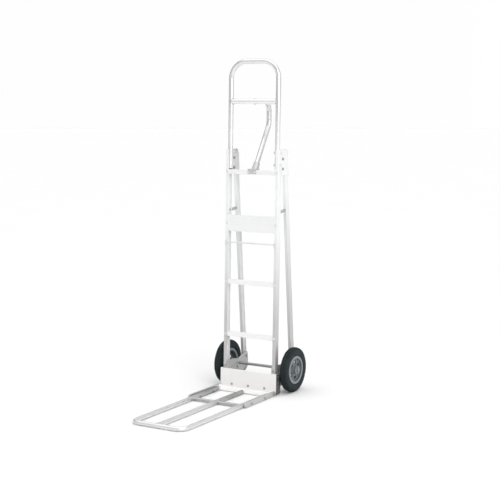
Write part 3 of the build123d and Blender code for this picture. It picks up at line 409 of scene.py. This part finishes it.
def grown(name, base, tree, values):
    holder = bpy.data.objects.new(name + "Source", base)
    bpy.context.scene.collection.objects.link(holder)
    modifier = holder.modifiers.new("grow", "NODES")
    modifier.node_group = tree
    for item in tree.interface.items_tree:
        if item.in_out == "INPUT" and item.name in values:
            modifier[item.identifier] = values[item.name]
    depsgraph = bpy.context.evaluated_depsgraph_get()
    mesh = bpy.data.meshes.new_from_object(holder.evaluated_get(depsgraph))
    mesh.name = name
    holder.modifiers.remove(modifier)
    bpy.data.objects.remove(holder)
    return mesh


# tyres: a lathe-turned carcass with two rows of tread lugs

tyre = {"segments": 120, "lugCount": 66, "lugLength": 0.0072, "lugBevel": 0.0005,
        "draft": 0.18, "draftFrom": 0.115, "draftOver": 0.012,  # lugs taper towards their tops
        "rake": 0.0022, "rakeMiddle": 0.009}  # and rake back towards the shoulder
# points of the sections: distance from the wheel's middle plane, radius
carcassProfile = [(0.0155, 0.0706), (0.0157, 0.0795), (0.0172, 0.0806), (0.0186, 0.0824), (0.0194, 0.0842),
                  (0.0193, 0.0856), (0.0202, 0.0880), (0.0212, 0.0915), (0.0219, 0.0960), (0.0221, 0.1000),
                  (0.0219, 0.1040), (0.0214, 0.1075), (0.0205, 0.1108), (0.0191, 0.1140), (0.0168, 0.1168),
                  (0.0138, 0.1187), (0.0094, 0.1199), (0.0046, 0.1205), (0.0037, 0.1208), (0.0031, 0.1262),
                  (0.0023, 0.1268)]
lugProfile = [(0.0042, 0.1190), (0.0049, 0.1262), (0.0094, 0.1256), (0.0142, 0.1241), (0.0178, 0.1205),
              (0.0200, 0.1160), (0.0215, 0.1105), (0.0210, 0.1085), (0.0163, 0.1150)]


def carcassMesh(centre):
    shape = bmesh.new()
    section = carcassProfile + [(-x, radius) for x, radius in reversed(carcassProfile)]
    rows = []
    for k in range(tyre["segments"]):
        angle = 2 * math.pi * k / tyre["segments"]
        row = []
        for x, radius in section:
            back, up = -radius * math.sin(angle), radius * math.cos(angle)
            row.append(shape.verts.new((centre.x + x, centre.y + back, centre.z + up)))
        rows.append(row)
    for k, here in enumerate(rows):
        there = rows[(k + 1) % len(rows)]
        for j in range(len(section)):
            nextJ = (j + 1) % len(section)
            shape.faces.new((here[j], here[nextJ], there[nextJ], there[j])).smooth = True
    bmesh.ops.recalc_face_normals(shape, faces=shape.faces)
    return meshFrom("carcass", shape)


def lugPattern(side):
    shape = bmesh.new()
    ends = []
    for half in (-1, 1):
        corners = []
        for x, radius in lugProfile:
            draft = 1.0 - tyre["draft"] * max(0.0, radius - tyre["draftFrom"]) / tyre["draftOver"]
            skew = tyre["rake"] * (x - tyre["rakeMiddle"]) / tyre["rakeMiddle"]
            corners.append(shape.verts.new((side * x, half * tyre["lugLength"] / 2 * draft + skew, radius)))
        ends.append(corners)
    near, far = ends
    shape.faces.new(near)
    shape.faces.new(list(reversed(far)))
    for j in range(len(lugProfile)):
        nextJ = (j + 1) % len(lugProfile)
        shape.faces.new((near[nextJ], near[j], far[j], far[nextJ]))
    bmesh.ops.recalc_face_normals(shape, faces=shape.faces)
    bmesh.ops.bevel(shape, geom=list(shape.edges), offset=tyre["lugBevel"], segments=1, affect="EDGES",
                    clamp_overlap=True)
    return bpy.data.objects.new("lug", meshFrom("lug", shape))


treadTree, tread, treadIn = newTree("treadLugs", {
    "Left lug": "NodeSocketObject", "Right lug": "NodeSocketObject", "Count": "NodeSocketInt",
    "Centre": "NodeSocketVector", "Material": "NodeSocketMaterial"})
treadStep = 2 * math.pi / treadIn["Count"]
treadRows = []
for label, phase in (("Left lug", 0.0), ("Right lug", 0.5)):  # the rows stand half a step apart
    spots = tread.add("GeometryNodeMeshLine", {}, {"Count": treadIn["Count"], "Offset": (0, 0, 0),
                                                   "Start Location": treadIn["Centre"]})
    turn = (tread.add("GeometryNodeInputIndex") + phase) * treadStep
    spin = tread.add("ShaderNodeCombineXYZ", {}, {0: turn})
    lug = tread.add("GeometryNodeObjectInfo", {}, {"Object": treadIn[label]}, out="Geometry")
    treadRows.append(tread.add("GeometryNodeInstanceOnPoints", {},
                               {"Points": spots, "Instance": lug, "Rotation": spin}))
wholeTread = tread.add("GeometryNodeJoinGeometry", {}, {0: [treadIn["Geometry"]] + treadRows})
closeTree(tread, wholeTread, treadIn["Material"])

leftLug = lugPattern(-1)
rightLug = lugPattern(1)
for side in ("left", "right"):
    low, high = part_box(side + "_tyre")
    centre = (low + high) / 2
    mesh = grown(side + "TyreMesh", carcassMesh(centre), treadTree,
                 {"Left lug": leftLug, "Right lug": rightLug, "Count": tyre["lugCount"], "Centre": centre,
                  "Material": finishes["tyreRubber"]})
    piece = addMesh(side + "_tyre_tread", mesh, finishes["tyreRubber"])
    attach(piece, side + "_wheel")
    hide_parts(side + "_tyre")
print("tyres done")

# weld beads round the coped tube ends

weld = {"size": 0.0021, "ripple": 0.45, "wave": 0.0011, "step": 0.0006, "sides": 8, "proud": 0.0004,
        "points": 72}
beadTree, bead, beadIn = newTree("weldBead", {
    "Size": "NodeSocketFloat", "Ripple": "NodeSocketFloat", "Wave": "NodeSocketFloat",
    "Step": "NodeSocketFloat", "Sides": "NodeSocketInt", "Material": "NodeSocketMaterial"})
beadLine = bead.add("GeometryNodeMeshToCurve", {}, {"Mesh": beadIn["Geometry"]})
beadPath = bead.add("GeometryNodeResampleCurve", {"mode": "LENGTH"},
                    {"Curve": beadLine, "Length": beadIn["Step"]})
along = bead.add("GeometryNodeSplineParameter", out="Length")
wave = bead.add("ShaderNodeMath", {"operation": "PINGPONG"}, {0: along, 1: beadIn["Wave"]})
swell = beadIn["Size"] * (1 + beadIn["Ripple"] * (wave / beadIn["Wave"] - 0.5))
beadRing = bead.add("GeometryNodeCurvePrimitiveCircle", {}, {"Resolution": beadIn["Sides"], "Radius": 1.0})
beadSkin = bead.add("GeometryNodeCurveToMesh", {},
                    {"Curve": beadPath, "Profile Curve": beadRing, "Scale": swell, "Fill Caps": True})
closeTree(bead, bead.add("GeometryNodeSetShadeSmooth", {}, {0: beadSkin}), beadIn["Material"])


def copePath(spot, mainAxis, branch, mainRadius, branchRadius, first=0.0, last=360.0):
    across = mainAxis.cross(branch).normalized()
    points = []
    for k in range(weld["points"] + 1):
        angle = math.radians(first + (last - first) * k / weld["points"])
        rise, shift = branchRadius * math.cos(angle), branchRadius * math.sin(angle)
        depth = math.sqrt(max(0.0, mainRadius ** 2 - shift ** 2))
        points.append(spot + mainAxis * rise + across * shift + branch * depth)
    mesh = bpy.data.meshes.new("cope")
    mesh.from_pydata(points, [(k, k + 1) for k in range(weld["points"])], [])
    return mesh


def weldPieces(name, body, paths):
    whole = bmesh.new()
    for path in paths:
        whole.from_mesh(path)
    mesh = grown(name + "Mesh", meshFrom(name + "Paths", whole), beadTree,
                 {"Size": weld["size"], "Ripple": weld["ripple"], "Wave": weld["wave"], "Step": weld["step"],
                  "Sides": weld["sides"], "Material": finishes["castMetal"]})
    piece = addMesh(name, mesh, finishes["castMetal"])
    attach(piece, body)


handleTube = {"radius": 0.0143}
low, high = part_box("handle_crossbar")
barSpot = (low + high) / 2
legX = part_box("loop_handle")[1].x - handleTube["radius"]
tubeRadius = handleTube["radius"] + weld["proud"]
handlePaths = []
for side in (-1, 1):
    legSpot = Vector((side * legX, barSpot.y, barSpot.z))
    handlePaths.append(copePath(legSpot, frameUp, -side * xAxis, tubeRadius, tubeRadius))
handlePaths.append(copePath(barSpot, xAxis, yAxis, tubeRadius, tubeRadius))  # the rear grip's upper end
weldPieces("handle_welds", "frame", handlePaths)

low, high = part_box("nose_cross_tubes")
crossSpot = (low + high) / 2
noseLow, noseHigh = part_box("nose_loop")
tubeHalf = (noseHigh.z - noseLow.z) / 2
noseRadius = tubeHalf + weld["proud"]
crossRadius = (high.z - low.z) / 2 + weld["proud"]
sideX = high.x + math.sqrt(noseRadius ** 2 - crossRadius ** 2)
nosePaths = []
for side, first, last in ((-1, 150, 390), (1, -30, 210)):  # degrees, open underneath
    for mainX in (side * sideX, 0):
        mainSpot = Vector((mainX, crossSpot.y, crossSpot.z))
        nosePaths.append(copePath(mainSpot, yAxis, -side * xAxis, noseRadius, crossRadius, first, last))
tipSpot = Vector((0, noseLow.y + tubeHalf, tubeHalf))
nosePaths.append(copePath(tipSpot, xAxis, yAxis, noseRadius, noseRadius, -15, 195))
weldPieces("nose_welds", "folding_nose", nosePaths)
print("welds done")

# camera

view = {"at": (3.4536, -5.4170, 1.6481), "turn": 30.95, "tilt": 7.17, "lens": 87.42, "sensor": 36.0,
        "farthest": 100.0}
eye = bpy.data.cameras.new("photoCamera")
eye.lens = view["lens"]
eye.sensor_width = view["sensor"]
eye.sensor_fit = "HORIZONTAL"
eye.clip_end = view["farthest"]
camera = bpy.data.objects.new("photoCamera", eye)
camera.location = view["at"]
camera.rotation_euler = (math.radians(90 - view["tilt"]), 0, math.radians(view["turn"]))
bpy.context.scene.collection.objects.link(camera)
bpy.context.scene.camera = camera
bpy.context.scene.view_settings.view_transform = "Standard"

# floor

ground = {"rings": (1.5, 4.0, 12.0, 60.0), "sides": 48, "noise": (1.5, 2.0, 0.5), "dark": rgb(0.83),
          "light": rgb(0.85), "rough": 0.8, "shine": 0.1}


def groundMesh():
    sides = ground["sides"]
    corners = [Vector((0, 0, 0))]
    faces = []
    for radius in ground["rings"]:
        for k in range(sides):
            angle = 2 * math.pi * k / sides
            corners.append(Vector((radius * math.cos(angle), radius * math.sin(angle), 0)))
    for k in range(sides):
        nextK = (k + 1) % sides
        faces.append((0, 1 + k, 1 + nextK))
        for ring in range(len(ground["rings"]) - 1):
            inner, outer = 1 + ring * sides, 1 + (ring + 1) * sides
            faces.append((inner + k, outer + k, outer + nextK, inner + nextK))
    mesh = bpy.data.meshes.new("studioGround")
    mesh.from_pydata(corners, [], faces)
    return mesh


floorFinish, floorGraph = newFinish("paleFloor")
floorCloud = cloudy(floorGraph, objectPlace(floorGraph), *ground["noise"])
floorTone = tinted(floorGraph, floorCloud, ground["dark"], ground["light"])
closeFinish(floorGraph, {"Base Color": floorTone, "Roughness": ground["rough"],
                         "Specular IOR Level": ground["shine"]})
floor = addMesh("studio_floor", groundMesh(), floorFinish)

# light: a soft grey room with brighter patches, and one large lamp

room = {"level": 0.46, "patches": [
    {"toward": (-0.5, -0.85, 0.05), "edge": 0.78, "core": 0.97, "level": 0.28},  # front left
    {"toward": (0.9, 0.43, 0), "edge": 0.05, "core": 0.5, "level": 0.32},  # right side
    {"toward": (0.76, -0.55, 0.34), "edge": 0.82, "core": 0.97, "level": 1.45},  # front right, the brightest
    {"toward": (-0.1, -0.1, 1), "edge": 0.6, "core": 0.9, "level": 1.2},  # overhead
    {"toward": (-0.51, 0.855, 0.02), "edge": 0.90, "core": 0.945, "level": 0.53},  # behind the truck
]}
world = bpy.data.worlds.new("studioWorld")
bpy.context.scene.world = world
world.use_nodes = True
world.node_tree.nodes.clear()
sky = Graph(world.node_tree)
skyTurn = sky.add("ShaderNodeTexCoord", out="Generated")
skyLevel = room["level"]
for patch in room["patches"]:
    facing = vectorMath(sky, "DOT_PRODUCT", skyTurn, Vector(patch["toward"]).normalized())
    glow = sky.add("ShaderNodeMapRange", {"clamp": True, "interpolation_type": "SMOOTHSTEP"},
                   {0: facing, 1: patch["edge"], 2: patch["core"]})
    skyLevel = skyLevel + patch["level"] * glow
skyShade = sky.add("ShaderNodeBackground", {}, {"Color": rgb(1.0), "Strength": skyLevel})
sky.add("ShaderNodeOutputWorld", {}, {"Surface": skyShade})

keyLamp = {"at": (4.2, -3.4, 3.2), "to": (0, 0.1, 0.8), "size": 3.0, "power": 60}
light = bpy.data.lights.new("keyLamp", "AREA")
light.shape = "SQUARE"
light.size = keyLamp["size"]
light.energy = keyLamp["power"]
lamp = bpy.data.objects.new("keyLamp", light)
lamp.location = keyLamp["at"]
lampAim = Vector(keyLamp["to"]) - Vector(keyLamp["at"])
lamp.rotation_euler = lampAim.to_track_quat("-Z", "Y").to_euler()
bpy.context.scene.collection.objects.link(lamp)
print("floor, light and camera done")
